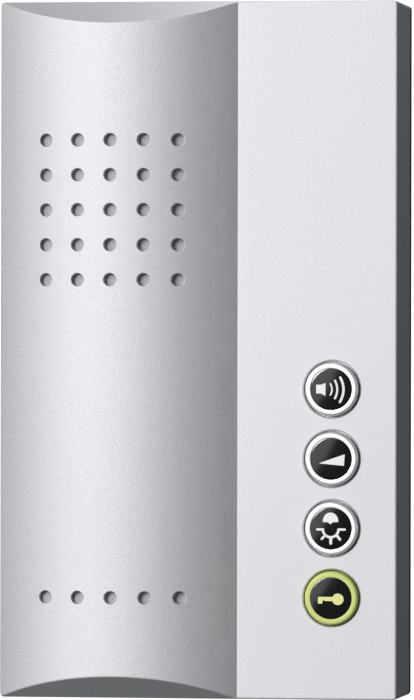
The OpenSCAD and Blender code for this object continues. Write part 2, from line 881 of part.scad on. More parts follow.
// Insulated wire swept along a curve with four control points
module lead(p) {
    ring = [for (k = [0 : lead_sides - 1]) 360 * k / lead_sides];
    points = [
        for (i = [0 : lead_rings])
            let (
                way = bezier_way(p, i / lead_rings),
                a = unit(cross(way, [1, 0, 0])),
                b = cross(way, a)
            )
            for (t = ring) bezier(p, i / lead_rings) + lead_r * (cos(t) * a + sin(t) * b)
    ];
    sides = [
        for (i = [0 : lead_rings - 1], k = [0 : lead_sides - 1])
            let (
                low = i * lead_sides + k,
                low_next = i * lead_sides + (k + 1) % lead_sides
            )
            each [
                [low, low + lead_sides, low_next + lead_sides],
                [low, low_next + lead_sides, low_next]
            ]
    ];
    last = lead_rings * lead_sides;
    ends = [
        for (k = [1 : lead_sides - 2])
            each [[0, k, k + 1], [last, last + k + 1, last + k]]
    ];
    polyhedron(points, concat(sides, ends));
}

module speaker_leads() color("firebrick") on_wall() {
    drop = 6;
    reach = 9;
    for (s = [-1, 1]) {
        start = [grille_x + s * tag_pitch, tag_y + tag_t / 2, frame_back_z - tag_h];
        end = [grille_x + s * header_pin, speaker_header_y + header_d / 2, board_z + header_h / 2];
        lead([start, start - [0, 0, drop], end + [0, reach, 0], end]);
    }
}

// Strip of cloth on the inside of the curved field
module cloth() {
    intersection() {
        difference() {
            field_cylinder(cloth_r);
            field_cylinder(cloth_in_r);
        }
        children();
    }
}

module grille_cloth() color("lightgray") on_wall() {
    w = chamber_w - 2 * cloth_chamber_gap;
    cloth() at_grille() box(w, w, panel_z, apex_z);
}

module microphone_cloth() color("lightgray") on_wall() {
    w = hole_span * mic_pitch + hole_d + 2 * cloth_edge;
    cloth() at_mic() box(w, mic_cloth_h, panel_z, apex_z);
}

module microphone_capsule() color("silver") on_wall() at_mic() {
    rod(capsule_r, mic_back_z, mic_back_z + capsule_h);
}

module microphone_boot() color("black") on_wall() at_mic() {
    difference() {
        rod(boot_r, boot_back_z, mic_front_z);
        rod(capsule_r + snug_gap, boot_back_z - over, mic_front_z - boot_front_t);
        rod(port_r, mic_back_z, mic_front_z + over);
    }
}

module microphone_holder() color("gray") on_wall() at_mic() {
    ring_r = boot_r + snug_gap;
    difference() {
        union() {
            box(holder_w, 2 * (holder_screw_y + holder_post_r), boot_back_z - holder_t, boot_back_z);
            rod(ring_r + holder_ring_t, boot_back_z - holder_t, boot_back_z + holder_ring_h);
        }
        rod(ring_r, boot_back_z, boot_back_z + holder_ring_h + over);
        rod(holder_hole_r, boot_back_z - holder_t - over, boot_back_z + over);
        for (s = [-1, 1])
            translate([0, s * holder_screw_y, 0])
                rod(holder_screw_r + 2 * snug_gap, boot_back_z - holder_t - over, boot_back_z + over);
    }
}

module holder_screws() color("lightgray") on_wall() at_mic() {
    for (s = [-1, 1])
        translate([0, s * holder_screw_y, 0])
            pan_screw(small_head_r, small_head_h, holder_screw_r, holder_screw_l, boot_back_z - holder_t);
}

module microphone_leads() color("firebrick") on_wall() {
    drop = 14;
    reach = 9;
    for (s = [-1, 1]) {
        start = [mic_x + s * header_pin, mic_y, mic_back_z];
        end = [mic_header_x + s * header_pin, mic_header_y - header_d / 2, board_z + header_h / 2];
        lead([start, start - [0, 0, drop], end - [0, reach, 0], end]);
    }
}

// Half section of a button, with heights from the panel's face
module button_section() {
    web_z = recess_z - button_wall;
    seat_r = inlay_r + snug_gap;
    stem_z = plunger_top_z - panel_z;
    skirt_r = button_r - button_wall;
    translate([skirt_r, flange_bottom]) square([button_wall, button_proud - rim_round - flange_bottom]);
    translate([seat_r, web_z]) square([button_r - rim_round - seat_r, button_proud - web_z]);
    translate([button_r - rim_round, button_proud - rim_round])
        intersection() {
            circle(rim_round);
            square(rim_round);
        }
    translate([0, web_z]) square([button_r - button_wall / 2, button_wall]);
    translate([skirt_r, flange_bottom]) square([flange_r - skirt_r, flange_t]);
    translate([0, stem_z]) square([stem_r, recess_z - stem_z]);
}

module push_button(row) {
    at_button(row) {
        translate([0, 0, panel_z]) rotate_extrude() button_section();
        translate([-flange_r - lug_out, -lug_w / 2, panel_z + flange_bottom])
            cube([lug_out + button_wall, lug_w, flange_t]);
    }
}

module button_inlay(row) {
    at_button(row)
        translate([0, 0, panel_z + recess_z])
            rotate_extrude()
                intersection() {
                    square([inlay_r, inlay_t]);
                    translate([0, inlay_t - inlay_dome_r]) circle(inlay_dome_r, $fn = dome_fn);
                }
}

module switch_plunger(row) {
    at_button(row) rod(plunger_r, plunger_low_z, plunger_top_z);
}

module talk_button() color("gainsboro") on_wall() push_button(TALK);
module talk_inlay() color("black") on_wall() button_inlay(TALK);
module talk_plunger() color("white") on_wall() switch_plunger(TALK);
module volume_button() color("gainsboro") on_wall() push_button(VOLUME);
module volume_inlay() color("black") on_wall() button_inlay(VOLUME);
module volume_plunger() color("white") on_wall() switch_plunger(VOLUME);
module light_button() color("gainsboro") on_wall() push_button(LIGHT);
module light_inlay() color("black") on_wall() button_inlay(LIGHT);
module light_plunger() color("white") on_wall() switch_plunger(LIGHT);
module door_button() color("palegoldenrod") on_wall() push_button(DOOR);
module door_inlay() color("black") on_wall() button_inlay(DOOR);
module door_plunger() color("white") on_wall() switch_plunger(DOOR);

base_plate();
front_cover();
main_board();
board_screws();
switch_bodies();
terminal_block();
terminal_screws();
filter_capacitors();
audio_chip();
bridge_rectifier();
line_transformer();
lead_headers();
speaker_basket();
speaker_tag_strip();
speaker_magnet();
speaker_yoke();
speaker_voice_coil();
speaker_cone();
speaker_surround();
speaker_dust_cap();
speaker_gasket();
speaker_screws();
speaker_leads();
grille_cloth();
microphone_cloth();
microphone_capsule();
microphone_boot();
microphone_holder();
holder_screws();
microphone_leads();
talk_button();
talk_inlay();
talk_plunger();
volume_button();
volume_inlay();
volume_plunger();
light_button();
light_inlay();
light_plunger();
door_button();
door_inlay();
door_plunger();
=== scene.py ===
import math

import bmesh
import bpy
import numpy as np
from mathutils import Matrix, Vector


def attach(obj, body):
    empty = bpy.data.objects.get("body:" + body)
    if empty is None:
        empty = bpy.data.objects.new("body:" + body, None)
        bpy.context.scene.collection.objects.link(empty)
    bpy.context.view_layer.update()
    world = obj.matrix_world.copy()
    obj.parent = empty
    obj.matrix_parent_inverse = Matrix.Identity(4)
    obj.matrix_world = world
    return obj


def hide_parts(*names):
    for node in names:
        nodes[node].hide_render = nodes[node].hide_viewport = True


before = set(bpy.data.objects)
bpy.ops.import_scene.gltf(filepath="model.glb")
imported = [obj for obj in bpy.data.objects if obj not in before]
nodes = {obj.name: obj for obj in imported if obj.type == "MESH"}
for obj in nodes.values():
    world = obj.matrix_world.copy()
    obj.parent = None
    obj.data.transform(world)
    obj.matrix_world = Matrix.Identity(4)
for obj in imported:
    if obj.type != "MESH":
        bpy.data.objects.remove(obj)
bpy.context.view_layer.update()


# The view: a long lens, level with the station's middle and a little to its right.
# It aims at that middle in the plane of the button panel, 36 mm in front of the wall.
VIEW_FROM, VIEW_TURN, VIEW_DROP, VIEW_ROLL = 1.8947, 0.154, 0.0014, 0.0019


def put_in_scene(name, data):
    """Object with that data, linked to the scene."""
    made = bpy.data.objects.new(name, data)
    bpy.context.scene.collection.objects.link(made)
    return made


camera = put_in_scene("camera", bpy.data.cameras.new("camera"))
camera.data.lens = 339.8
camera.data.shift_x, camera.data.shift_y = 0.0131, -0.0002
bpy.context.scene.camera = camera
aim = Vector((0, -0.036, 0))
camera.location = aim + VIEW_FROM * Vector((math.sin(VIEW_TURN), -math.cos(VIEW_TURN), -VIEW_DROP))
camera.rotation_euler = (aim - camera.location).to_track_quat("-Z", "Y").to_euler()
camera.rotation_euler.rotate_axis("Z", VIEW_ROLL)


# Back plate: a grey moulded plate that is screwed to the wall, with a cable window, screw holes,
# posts for the board, and a rim with sprung catches that the cover snaps onto.
class Shade:
    """A socket of a node tree, with the operators that the finishes and the perforation use."""

    def __init__(self, tree, socket=None):
        self.tree, self.socket = tree, socket

    def node(self, kind, settings=None, sockets=None, out=0):
        """Adds a node: its settings first, then the values or links of its sockets.

        A list makes several links to one socket.
        """
        made = self.tree.nodes.new(kind)
        for key, value in (settings or {}).items():
            setattr(made, key, value)
        for key, value in (sockets or {}).items():
            for one in value if isinstance(value, list) else [value]:
                if isinstance(one, Shade):
                    self.tree.links.new(one.socket, made.inputs[key])
                else:
                    made.inputs[key].default_value = one
        return Shade(self.tree, made.outputs[out] if made.outputs else None)

    def maths(self, operation, *values):
        return self.node("ShaderNodeMath", {"operation": operation}, dict(enumerate(values)))

    def __add__(self, other):
        return self.maths("ADD", self, other)

    def __sub__(self, other):
        return self.maths("SUBTRACT", self, other)

    def __rsub__(self, other):
        return self.maths("SUBTRACT", other, self)

    def __mul__(self, other):
        return self.maths("MULTIPLY", self, other)

    __radd__, __rmul__ = __add__, __mul__


def new_finish(name, **constants):
    """A material with constants on its shader's sockets: the material, a start for its nodes, and a feed."""
    material = bpy.data.materials.new(name)
    material.use_nodes = True
    tree = material.node_tree
    shader = tree.nodes["Principled BSDF"]
    for key, value in constants.items():
        shader.inputs[key.replace("_", " ").title().replace("Ior", "IOR")].default_value = value

    def feed(socket, value):
        tree.links.new(value.socket, shader.inputs[socket])

    return material, Shade(tree), feed


def own_place(start):
    """The piece's own coordinates, which are the frame's, in metres."""
    return start.node("ShaderNodeTexCoord", out="Object")


def noise(start, scale, detail=2.0, stretch=None):
    """Noise on the piece's own place, scale features to the metre."""
    place = own_place(start)
    if stretch:
        place = start.node("ShaderNodeMapping", None, {"Vector": place, "Scale": stretch})
    return start.node("ShaderNodeTexNoise", None, {"Vector": place, "Scale": scale, "Detail": detail})


def tone(colour, by):
    """The colour made darker or lighter by a factor."""
    return tuple(min(1, c * by) for c in colour)


def blend(start, share, low, high):
    """Colour between two colours, each given as numbers or as a socket, on the Mix node's colour sockets."""
    low, high = (colour if isinstance(colour, Shade) else (*colour, 1) for colour in (low, high))
    return start.node("ShaderNodeMix", {"data_type": "RGBA"}, {0: share, 6: low, 7: high}, out=2)


def roughen(start, feed, height, depth):
    """Bump of that depth in metres from a height between 0 and 1."""
    feed("Normal", start.node("ShaderNodeBump", None, {"Height": height, "Distance": depth, "Strength": 1.0}))


def moulded(name, colour, roughness, grain=0.0007, depth=0.00002):
    """Moulded plastic, rubber or ceramic: cloudy colour, and a fine grain from the tool's surface."""
    material, start, feed = new_finish(name)
    cloud, speck = noise(start, 45), noise(start, 1 / grain, 1)
    feed("Base Color", blend(start, cloud * 0.6 + speck * 0.4, tone(colour, 0.86), tone(colour, 1.12)))
    feed("Roughness", roughness - 0.1 + speck * 0.2)
    roughen(start, feed, speck, depth)
    return material


def coat(material, *names):
    """Gives CAD nodes their finish."""
    for name in names:
        nodes[name].material_slots[0].material = material


coat(moulded("back_plate_plastic", (0.30, 0.31, 0.325), 0.5, 0.0009), "base_plate")


# Circuit board: glass-fibre laminate under green lacquer, on four posts of the plate, with the push
# switches, the line terminal and the small parts soldered to it. Four zinc-plated screws hold it.
def lacquered_board():
    """Green lacquer with copper tracks showing through as paler lines."""
    material, start, feed = new_finish("board_lacquer")
    turned_up = {"Vector": own_place(start), "Rotation": (math.pi / 2, 0, 0)}
    bare, track = (0, 0, 0, 1), (1, 1, 1, 1)
    tracks = start.node(
        "ShaderNodeTexBrick",
        {"offset": 0.37, "squash": 0.6},
        {"Vector": start.node("ShaderNodeMapping", None, turned_up), "Color1": bare, "Color2": bare,
         "Mortar": track, "Scale": 120, "Mortar Size": 0.06, "Brick Width": 1.3, "Row Height": 0.4},
    )
    share = tracks * 0.7 + noise(start, 300) * 0.2
    feed("Base Color", blend(start, share, (0.008, 0.07, 0.03), (0.04, 0.24, 0.10)))
    feed("Roughness", 0.28 + noise(start, 900) * 0.2)
    roughen(start, feed, tracks, 0.00004)
    return material


def plated_steel(name, colour, roughness):
    """Zinc-plated or bright steel with fine drawn lines."""
    material, start, feed = new_finish(name, metallic=1.0)
    drawn = noise(start, 2500, 3, (1, 0.05, 1))
    feed("Base Color", blend(start, noise(start, 160), tone(colour, 0.8), colour))
    feed("Roughness", roughness - 0.08 + 0.16 * drawn)
    roughen(start, feed, drawn, 0.00001)
    return material


black_plastic = moulded("black_plastic", (0.018, 0.018, 0.02), 0.42)
white_plastic = moulded("white_plastic", (0.78, 0.77, 0.72), 0.4)
screw_zinc = plated_steel("screw_zinc", (0.72, 0.72, 0.70), 0.3)
coat(lacquered_board(), "main_board")
coat(screw_zinc, "board_screws", "terminal_screws", "speaker_screws", "holder_screws")
coat(black_plastic, "switch_bodies", "audio_chip", "bridge_rectifier")
coat(moulded("terminal_green", (0.03, 0.27, 0.12), 0.4), "terminal_block")
coat(moulded("capacitor_sleeve", (0.02, 0.03, 0.10), 0.25, 0.002), "filter_capacitors")
coat(moulded("winding_tape", (0.68, 0.42, 0.06), 0.3, 0.003), "line_transformer")
coat(white_plastic, "lead_headers", "talk_plunger", "volume_plunger", "light_plunger", "door_plunger")


# Loudspeaker: a pressed steel basket with a paper cone in a rubber roll, a ferrite magnet and a
# copper coil. A foam gasket seals it to the cover's sound chamber, and four screws hold it there.
def wound_copper():
    """Enamelled wire wound in close turns round the speaker's axis."""
    material, start, feed = new_finish("coil_copper", metallic=1.0)
    wave = {"Vector": own_place(start), "Scale": 1200}
    turns = start.node("ShaderNodeTexWave", {"bands_direction": "Y"}, wave)
    feed("Base Color", blend(start, turns, (0.30, 0.09, 0.03), (0.75, 0.30, 0.14)))
    feed("Roughness", 0.25 + noise(start, 700) * 0.15)
    roughen(start, feed, turns, 0.00005)
    return material


def pressed_paper(name, colour):
    """Felted fibre, matt and slightly uneven."""
    material, start, feed = new_finish(name)
    fibre = noise(start, 1800, 5, (1, 1, 0.35))
    feed("Base Color", blend(start, fibre, tone(colour, 0.72), tone(colour, 1.15)))
    feed("Roughness", 0.78 + fibre * 0.2)
    roughen(start, feed, fibre, 0.00012)
    return material


black_rubber = moulded("black_rubber", (0.02, 0.02, 0.021), 0.62, 0.0012)
lead_insulation = moulded("lead_insulation", (0.42, 0.025, 0.02), 0.38, 0.002)
coat(plated_steel("basket_steel", (0.66, 0.67, 0.68), 0.34), "speaker_basket", "speaker_yoke")
coat(moulded("magnet_ferrite", (0.045, 0.046, 0.05), 0.55, 0.0015, 0.00006), "speaker_magnet")
coat(wound_copper(), "speaker_voice_coil")
coat(pressed_paper("cone_paper", (0.10, 0.10, 0.105)), "speaker_cone", "speaker_dust_cap")
coat(pressed_paper("tag_laminate", (0.26, 0.12, 0.05)), "speaker_tag_strip")
coat(black_rubber, "speaker_surround")
coat(pressed_paper("gasket_foam", (0.05, 0.05, 0.052)), "speaker_gasket")
coat(lead_insulation, "speaker_leads", "microphone_leads")


# Microphone: an aluminium capsule in a soft rubber boot behind the middle hole of the lower row.
# A plastic holder with two screws presses the boot against the cloth.
coat(plated_steel("capsule_can", (0.78, 0.79, 0.80), 0.26), "microphone_capsule")
coat(black_rubber, "microphone_boot")
coat(moulded("holder_plastic", (0.36, 0.37, 0.38), 0.48), "microphone_holder")


# Acoustic cloth: two pieces of pale woven polyester, stretched over the inside of the curved field
# behind the sound holes and glued down along their edges.
FIELD_X, FIELD_R, FIELD_AXIS = -23.0, 59.60227, -12.60227
CLOTH_DEPTH, CLOTH_THICK, CLOTH_STRIPS = 2.45, 0.5, 40


def mesh_of(name, points, faces, flat=()):
    """Mesh from points in wall millimetres: x to the right, y up, z out of the wall."""
    mesh = bpy.data.meshes.new(name)
    mesh.from_pydata([(x / 1000, -z / 1000, y / 1000) for x, y, z in points], [], faces, shade_flat=False)
    for face in flat:
        mesh.polygons[face].use_smooth = False
    return mesh


def bar_faces(sections, closed=False):
    """Faces of a bar with that many four-cornered sections, joined into a loop or with its two ends."""
    faces = []
    for i in range(sections if closed else sections - 1):
        j = (i + 1) % sections
        faces += [(4 * i + a, 4 * j + a, 4 * j + (a + 1) % 4, 4 * i + (a + 1) % 4) for a in range(4)]
    if not closed:
        end = 4 * sections - 4
        faces += [(0, 1, 2, 3), (end + 3, end + 2, end + 1, end)]
    return faces


def add_piece(name, mesh, material, body, slot, *replaced, sharp=30):
    """Puts a finished mesh in the frame as a piece that rides on a body."""
    if material:
        mesh.materials.append(material)
    mesh.set_sharp_from_angle(angle=math.radians(sharp))
    piece = put_in_scene(name, mesh)
    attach(piece, body)
    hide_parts(*replaced)
    return piece


def field_height(x, depth):
    """Height of the curved field over the wall, at that depth under its outside."""
    return FIELD_AXIS + math.sqrt((FIELD_R - depth) ** 2 - (x - FIELD_X) ** 2)


def woven_cloth():
    """Plain weave of 0.45 mm threads, over and under each other."""
    material, start, feed = new_finish("acoustic_weave")
    thread = {"Vector": own_place(start), "Scale": 350, "Distortion": 0.6, "Detail Scale": 40}
    across, along = (
        start.node("ShaderNodeTexWave", {"bands_direction": way, "wave_profile": "SIN"}, thread)
        for way in "XZ"
    )
    weave = across * (1 - along) + along * (1 - across)
    share = weave * 0.8 + noise(start, 500) * 0.2
    feed("Base Color", blend(start, share, (0.32, 0.33, 0.335), (0.43, 0.44, 0.445)))
    feed("Roughness", 0.75 + weave * 0.2)
    roughen(start, feed, weave, 0.00006)
    return material


def stretch_cloth(name, material, x0, x1, y0, y1):
    """A closed thin sheet under the field, from x0 to x1 and y0 to y1."""
    back = CLOTH_DEPTH + CLOTH_THICK
    section = ((y0, CLOTH_DEPTH), (y1, CLOTH_DEPTH), (y1, back), (y0, back))
    xs = np.linspace(x0, x1, CLOTH_STRIPS + 1)
    points = [(x, y, field_height(x, depth)) for x in xs for y, depth in section]
    mesh = mesh_of(name, points, bar_faces(len(xs)))
    piece = add_piece(name + "_weave", mesh, material, "station", "acoustic_cloth", name)


acoustic_weave = woven_cloth()
stretch_cloth("grille_cloth", acoustic_weave, -46.55, -1.05, 17.25, 62.75)
stretch_cloth("microphone_cloth", acoustic_weave, -47.35, 0.35, -76.15, -65.65)


# Front cover: one deep plastic moulding with a silver paint, a curved field with slanted ends on the
# left and a flat panel on the right. Its skirt snaps over the back plate's rim.
HALF_W, HALF_H, PANEL, WALL, SKIRT = 57.5, 100.0, 36.0, 2.4, 2.4
SLOPE, CREASE = 0.59, 11.5
SLANT = math.hypot(1, SLOPE)
OUTER_EDGE, OUTER_CORNER, INNER_EDGE, INNER_CORNER = 0.5, 1.2, 0.3, 0.85
HOLE_R, HOLE_CELL = 1.85, 4.5
GRILLE_X, GRILLE_Y, PITCH_X, PITCH_Y = -23.8, 40.0, 9.6, 10.0
MIC_X, MIC_Y, MIC_PITCH = -23.5, -70.9, 9.75
KEY_X, KEY_ROWS, KEY_HOLE_R, KEY_CELL = 38.85, (-11.2, -31.1, -51.0, -70.9), 8.1, 9.5
WINDOWS, WINDOW_Z = ((-35.3, -24.7), (24.7, 35.3)), (10.5, 7.1)
# Five holes to a row or a column, counted from the middle one. The skin is a grid: its steps across a
# hole, a button, a flank of the crease and an end, where SIDE_STEP is the one at the height SIDE_Z, and
# the rows where the grille, the microphone holes and the buttons start.
FIVE = range(-2, 3)
HOLE_STEPS, KEY_STEPS, FLANK_STEPS, END_STEPS, SIDE_STEP = 6, 12, 5, 16, 13
HOLE_STRIDE, KEY_STRIDE = HOLE_STEPS + 1, KEY_STEPS + 1
GRILLE_ROW, MIC_ROW, KEY_ROW, LAST_ROW = 4, 52, 8, 62
ROW_MARGIN, EDGE_MARGIN, SIDE_Z = 0.4, 0.3, 24.0


def steps(start, end, count):
    """Places from start, which is left out, to end."""
    return [start + (end - start) * (k + 1) / count for k in range(count)]


def skin_height(x, depth, edge):
    """Height of the cover's skin over x, with its left and right edges rounded by edge."""
    right = HALF_W - depth - x
    if right < edge:
        return PANEL - depth - edge + math.sqrt(max(0, edge**2 - (edge - right) ** 2))
    centre = depth - HALF_W + edge
    radius = FIELD_R - depth - edge
    if x < centre + edge * (centre - FIELD_X) / radius:
        low = FIELD_AXIS + math.sqrt(radius**2 - (centre - FIELD_X) ** 2)
        return low + math.sqrt(max(0, edge**2 - (x - centre) ** 2))
    if abs(x - FIELD_X) > FIELD_R - depth:
        return PANEL - depth
    return max(field_height(x, depth), PANEL - depth)


def skin_end(x, depth, edge, corner):
    """Places (y, z) down a section's end: rounded edge, slanted end, rounded edge and wall to the skirt."""
    side = HALF_W - depth - abs(x)
    wall = HALF_H - depth
    if side < corner:
        wall += math.sqrt(max(0, corner**2 - (corner - side) ** 2)) - corner
    top = skin_height(x, depth, edge)
    reach = HALF_H - (depth + edge) * SLANT
    low = (wall - edge, PANEL + (reach - wall + edge) / SLOPE)
    high = (reach - SLOPE * (top - edge - PANEL), top - edge)
    if low[1] > top - edge:
        low = high = (wall - edge, top - edge)
    lean = math.atan(SLOPE)

    def arc(about, first, last):
        turns = [first + (last - first) * k / 4 for k in range(5)]
        return [(about[0] + edge * math.cos(t), about[1] + edge * math.sin(t)) for t in turns]

    upper, lower = arc(high, math.pi / 2, lean), arc(low, lean, 0)
    a, b = np.array(upper[-1]), np.array(lower[0])
    near = min(EDGE_MARGIN / max(np.linalg.norm(b - a), 1e-9), 1 / 3)
    between = [tuple(a + (b - a) * near), tuple(b + (a - b) * near)]
    return upper + between + lower + [(wall, z) for z in (low[1] - EDGE_MARGIN, SIDE_Z, *WINDOW_Z, SKIRT)]


def field_rows(y0):
    """Heights of the grid's rows on the field, with equal steps across each row of sound holes."""
    rows = [y0, y0 - ROW_MARGIN]
    rows += steps(rows[-1], GRILLE_Y + 2 * PITCH_Y + HOLE_CELL, GRILLE_ROW - 1)
    for row in FIVE:
        y = GRILLE_Y - row * PITCH_Y
        rows += ([y + HOLE_CELL] if row > -2 else []) + steps(y + HOLE_CELL, y - HOLE_CELL, HOLE_STEPS)
    rows += steps(rows[-1], MIC_Y + HOLE_CELL, MIC_ROW + 1 - len(rows))
    rows += steps(rows[-1], MIC_Y - HOLE_CELL, HOLE_STEPS)
    return rows + steps(rows[-1], ROW_MARGIN - y0, LAST_ROW - len(rows)) + [-y0]


def panel_rows(y0):
    """Heights of the grid's rows on the panel, with equal steps across each button."""
    rows = [y0, y0 - ROW_MARGIN]
    rows += steps(rows[-1], KEY_ROWS[0] + KEY_CELL, KEY_ROW - 1)
    for row, y in enumerate(KEY_ROWS):
        rows += ([y + KEY_CELL] if row else []) + steps(y + KEY_CELL, y - KEY_CELL, KEY_STEPS)
    return rows + steps(rows[-1], ROW_MARGIN - y0, LAST_ROW - len(rows)) + [-y0]


ROUND = [0, 0.02, 0.07, 0.15, 0.3, 0.5, 0.8, 1.2]
lines = [d - HALF_W for d in ROUND] + steps(ROUND[-1] - HALF_W, GRILLE_X - 2 * PITCH_X - HOLE_CELL, 4)
hole_line, mic_shift = len(lines) - 1, {}
for column in FIVE:
    x = GRILLE_X + column * PITCH_X
    shift = MIC_X + column * MIC_PITCH - x
    lines += ([x - HOLE_CELL] if column > -2 else []) + steps(x - HOLE_CELL, x + HOLE_CELL, HOLE_STEPS)
    for k in range(HOLE_STRIDE):
        mic_shift[len(lines) - 1 - k] = shift
crease_line = len(lines) + FLANK_STEPS - 1
for k in range(1, FLANK_STEPS):
    mic_shift[crease_line - k] = shift * k / FLANK_STEPS
lines += steps(lines[-1], CREASE, FLANK_STEPS) + steps(CREASE, KEY_X - KEY_CELL, FLANK_STEPS)
key_line = len(lines) - 1
lines += steps(lines[-1], KEY_X + KEY_CELL, KEY_STEPS) + steps(KEY_X + KEY_CELL, HALF_W - ROUND[-1], 3)
lines += [HALF_W - d for d in ROUND[-2::-1]]
inner_crease = FIELD_X + math.sqrt((FIELD_R - WALL) ** 2 - (PANEL - WALL - FIELD_AXIS) ** 2)
grille_span = [lines[hole_line], lines[crease_line - FLANK_STEPS]]
key_span = [lines[key_line], lines[key_line + KEY_STEPS]]
inner_lines = list(np.interp(
    lines,
    [-HALF_W, *grille_span, CREASE, *key_span, HALF_W],
    [WALL - HALF_W, *grille_span, inner_crease, *key_span, HALF_W - WALL],
))


def mic_share(row):
    """How far a row of the grid has moved from the grille's columns to the microphone row's."""
    grille_end = GRILLE_ROW + len(FIVE) * HOLE_STRIDE - 1
    return float(np.interp(row, [grille_end, MIC_ROW, MIC_ROW + HOLE_STEPS, LAST_ROW], [0, 1, 1, 0]))


def skin(xs, depth, edge, corner):
    """Points over the cover's outside or inside: for each line the top end, the rows and the bottom end.

    It also gives the lines that bound the two windows in the bottom wall.
    """
    grid = []
    sides = [at for window in WINDOWS for at in window]
    marks = [min(range(len(xs)), key=lambda i: abs(xs[i] - at)) for at in sides]
    first, last = (xs[0], xs[len(ROUND) - 1]), (xs[-len(ROUND)], xs[-1])
    warped = np.interp(xs, [*first, *(xs[m] for m in marks), *last], [*first, *sides, *last])
    for i, x in enumerate(xs):
        end = skin_end(x, depth, edge, corner)
        y0 = end[0][0]
        share = min(max((i - crease_line) / FLANK_STEPS, 0), 1)
        rows = [a + (b - a) * share for a, b in zip(field_rows(y0), panel_rows(y0))]
        over = [x + mic_share(row) * mic_shift.get(i, 0) for row in range(LAST_ROW + 1)]
        middle = [(u, y, skin_height(u, depth, edge)) for u, y in zip(over, rows)]
        foot = [(warped[i] if k >= SIDE_STEP else x, -y, z) for k, (y, z) in enumerate(end)]
        grid.append([(x, y, z) for y, z in end[:0:-1]] + middle + foot[1:])
    return grid, (marks[:2], marks[2:])


outer, window_lines = skin(lines, 0.0, OUTER_EDGE, OUTER_CORNER)
inner, _ = skin(inner_lines, WALL, INNER_EDGE, INNER_CORNER)
count = len(outer[0])
window_row = count - 3
points = [p for grid in (outer, inner) for line in grid for p in line]
offset = len(lines) * count
hole_rows = [GRILLE_ROW + HOLE_STRIDE * r for r in range(len(FIVE))] + [MIC_ROW]
cells = [(hole_line + HOLE_STRIDE * c, row, HOLE_STEPS) for c in range(len(FIVE)) for row in hole_rows]
cells += [(key_line, KEY_ROW + KEY_STRIDE * b, KEY_STEPS) for b in range(len(KEY_ROWS))]
open_cells = {(i + a, END_STEPS + j + b) for i, j, n in cells for a in range(n) for b in range(n)}
quads = {
    (i, k): (i * count + k, i * count + k + 1, (i + 1) * count + k + 1, (i + 1) * count + k)
    for i in range(len(lines) - 1) for k in range(count - 1)
    if not (k == window_row and any(a <= i < b for a, b in window_lines))
}
last = (len(lines) - 1) * count
sides = [tuple(reversed(range(count))), tuple(range(last, last + count))]
half_edges = {(f[k], f[(k + 1) % len(f)]) for f in (*quads.values(), *sides) for k in range(len(f))}
rims = [(v, u, u + offset, v + offset) for u, v in half_edges if (v, u) not in half_edges]
shell = [f for key, f in quads.items() if key not in open_cells]


def inner_side(some_faces):
    """The same faces on the inside of the wall, turned round."""
    return [tuple(reversed([v + offset for v in f])) for f in some_faces]


def mark_bare(mesh, bare):
    """Marks the faces that the spray gun doesn't reach."""
    mesh.attributes.new("bare", "BOOLEAN", "FACE").data.foreach_set("value", bare)


groups = [
    (sides, False), (inner_side(sides), True), (shell, False), (inner_side(shell), True), (rims, True)
]
faces, bare = [], []
for group, is_bare in groups:
    faces += group
    bare += [is_bare] * len(group)
skin_mesh = mesh_of("front_cover_skin", points, faces, range(4))
mark_bare(skin_mesh, bare)


# Sound holes and button openings: the same small tile of skin with a rounded hole is set into every
# open cell of the cover, laid onto the curve of the field, and sealed to its neighbours.
HOLE_SIDES, KEY_SIDES = 4 * HOLE_STEPS, 4 * KEY_STEPS
LIP, CHAMFER, LAND, SEAL = 0.2, 0.45, 0.6, 0.003


def ring(radius, z, number):
    """Points round a hole."""
    return [(radius * math.cos(t), radius * math.sin(t), z) for t in np.arange(number) * 2 * math.pi / number]


def cell_edge(half, z, number):
    """Square ring of a cell, with its points at the grid's places."""
    side = [(half, 2 * half * k / (number // 4)) for k in range(number // 8)]
    quarter = side + [(half - 2 * half * k / (number // 4), half) for k in range(number // 8)]
    return [
        (x * c - y * s, x * s + y * c, z)
        for c, s in ((1, 0), (0, 1), (-1, 0), (0, -1)) for x, y in quarter
    ]


def tile(name, half, number, profile):
    """Cell of skin with a hole: its rings run from the outer skin through the hole to the inner skin."""
    rings = [cell_edge(half, 0, number)] + [ring(radius, z, number) for radius, z in profile]
    rings.append(cell_edge(half, -WALL, number))
    faces = []
    for r in range(len(rings) - 1):
        a, b = r * number, (r + 1) * number
        faces += [(a + k, a + (k + 1) % number, b + (k + 1) % number, b + k) for k in range(number)]
    mesh = mesh_of(name, [p for one in rings for p in one], faces)
    reach = [math.hypot(*one[0][:2]) for one in rings]
    mark_bare(mesh, [r >= reach.index(min(reach)) for r in range(len(rings) - 1) for k in range(number)])
    return put_in_scene(name, mesh)


lip_turns = np.linspace(0, math.pi / 2, 5)
hole_profile = [(HOLE_R + 3 * LIP, 0), (HOLE_R + 1.5 * LIP, 0)]
hole_profile += [(HOLE_R + LIP - LIP * math.sin(t), LIP * math.cos(t) - LIP) for t in lip_turns]
hole_profile += [(HOLE_R, -WALL), (HOLE_R + 3 * LIP, -WALL)]
key_profile = [(KEY_HOLE_R + LAND, 0)]
key_profile += [
    (KEY_HOLE_R + r, z) for r, z in ((CHAMFER, 0), (0.39, -0.02), (0.34, -0.07), (0.04, -0.37), (0, -CHAMFER))
]
key_profile += [(KEY_HOLE_R, -WALL), (KEY_HOLE_R + LAND, -WALL)]
hole_tile = tile("hole_tile", HOLE_CELL, HOLE_SIDES, hole_profile)
key_tile = tile("key_tile", KEY_CELL, KEY_SIDES, key_profile)
hole_spots = [(GRILLE_X + c * PITCH_X, GRILLE_Y + r * PITCH_Y, 0) for c in FIVE for r in FIVE]
hole_spots += [(MIC_X + c * MIC_PITCH, MIC_Y, 0) for c in FIVE]
